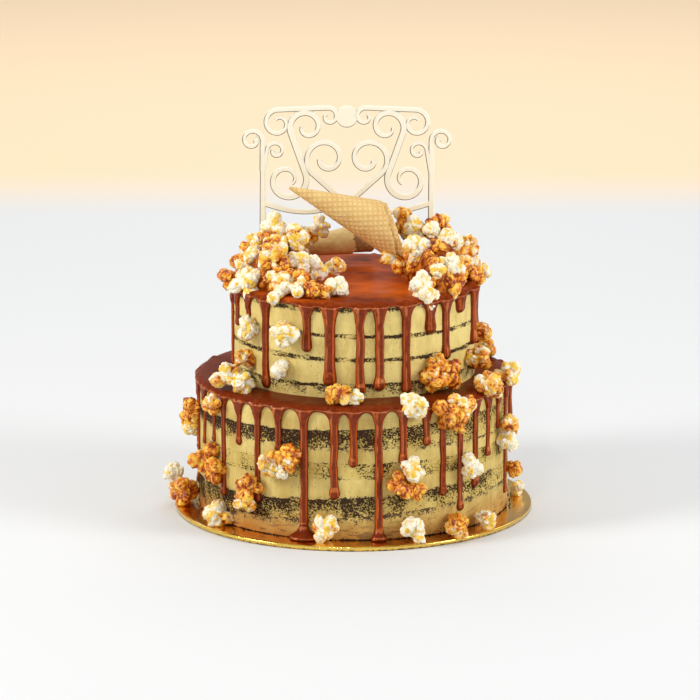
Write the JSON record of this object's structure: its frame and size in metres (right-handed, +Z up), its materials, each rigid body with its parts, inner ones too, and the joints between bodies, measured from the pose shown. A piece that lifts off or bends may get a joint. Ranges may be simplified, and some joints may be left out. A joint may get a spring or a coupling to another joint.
{
  "type": "two-tier drip cake",
  "caption": "Two-tier semi-naked buttercream cake with caramel drips, clusters of caramel popcorn, wafer cones and a scrollwork topper on a gold board",
  "frame": {"origin": "middle of the board's underside, on the axis of both tiers", "axes": "+Z up along the axis of the tiers, -Y towards the front that the topper faces, +X to the viewer's right"},
  "size_m": [0.2755, 0.267, 0.2974],
  "materials": {
    "buttercream": "smooth spread buttercream, dull, with fine crumbs and spatula marks",
    "dark_sponge": "open crumb of dark sponge showing through thin cream",
    "caramel_glaze": "thick glossy caramel",
    "caramel_popcorn": "popped corn partly coated in shiny toffee",
    "wafer": "baked wafer with an embossed grid, dull",
    "topper_acrylic": "cream-white cut acrylic sheet",
    "gold_board": "board faced with gold foil, shiny"
  },
  "bodies": {
    "root": {"board": "gold_board", "caramel_lower": "caramel_glaze", "caramel_upper": "caramel_glaze", "cone_long": "wafer", "cone_short": "wafer", "lower_cream_1": "buttercream", "lower_cream_2": "buttercream", "lower_cream_3": "buttercream", "lower_cream_4": "buttercream", "lower_sponge_1": "dark_sponge", "lower_sponge_2": "dark_sponge", "lower_sponge_3": "dark_sponge", "popcorn_board_1": "caramel_popcorn", "popcorn_board_2": "caramel_popcorn", "popcorn_board_3": "caramel_popcorn", "popcorn_board_4": "caramel_popcorn", "popcorn_board_5": "caramel_popcorn", "popcorn_board_6": "caramel_popcorn", "popcorn_board_7": "caramel_popcorn", "popcorn_heap_left": "caramel_popcorn", "popcorn_heap_right": "caramel_popcorn", "popcorn_ledge_1": "caramel_popcorn", "popcorn_ledge_2": "caramel_popcorn", "popcorn_lower_1": "caramel_popcorn", "popcorn_lower_2": "caramel_popcorn", "popcorn_lower_3": "caramel_popcorn", "popcorn_lower_4": "caramel_popcorn", "popcorn_lower_5": "caramel_popcorn", "popcorn_lower_6": "caramel_popcorn", "popcorn_lower_7": "caramel_popcorn", "popcorn_lower_8": "caramel_popcorn", "popcorn_rear_1": "caramel_popcorn", "popcorn_rear_2": "caramel_popcorn", "popcorn_rear_3": "caramel_popcorn", "popcorn_rear_4": "caramel_popcorn", "popcorn_rear_5": "caramel_popcorn", "popcorn_rear_6": "caramel_popcorn", "popcorn_rear_7": "caramel_popcorn", "popcorn_rim_1": "caramel_popcorn", "popcorn_rim_2": "caramel_popcorn", "popcorn_rim_3": "caramel_popcorn", "popcorn_rim_4": "caramel_popcorn", "popcorn_rim_5": "caramel_popcorn", "popcorn_upper_1": "caramel_popcorn", "popcorn_upper_2": "caramel_popcorn", "popcorn_upper_3": "caramel_popcorn", "popcorn_upper_4": "caramel_popcorn", "popcorn_upper_5": "caramel_popcorn", "popcorn_upper_6": "caramel_popcorn", "popcorn_upper_7": "caramel_popcorn", "topper": "topper_acrylic", "upper_cream_1": "buttercream", "upper_cream_2": "buttercream", "upper_cream_3": "buttercream", "upper_cream_4": "buttercream", "upper_cream_5": "buttercream", "upper_sponge_1": "dark_sponge", "upper_sponge_2": "dark_sponge", "upper_sponge_3": "dark_sponge", "upper_sponge_4": "dark_sponge"}
  },
  "joints": []
}
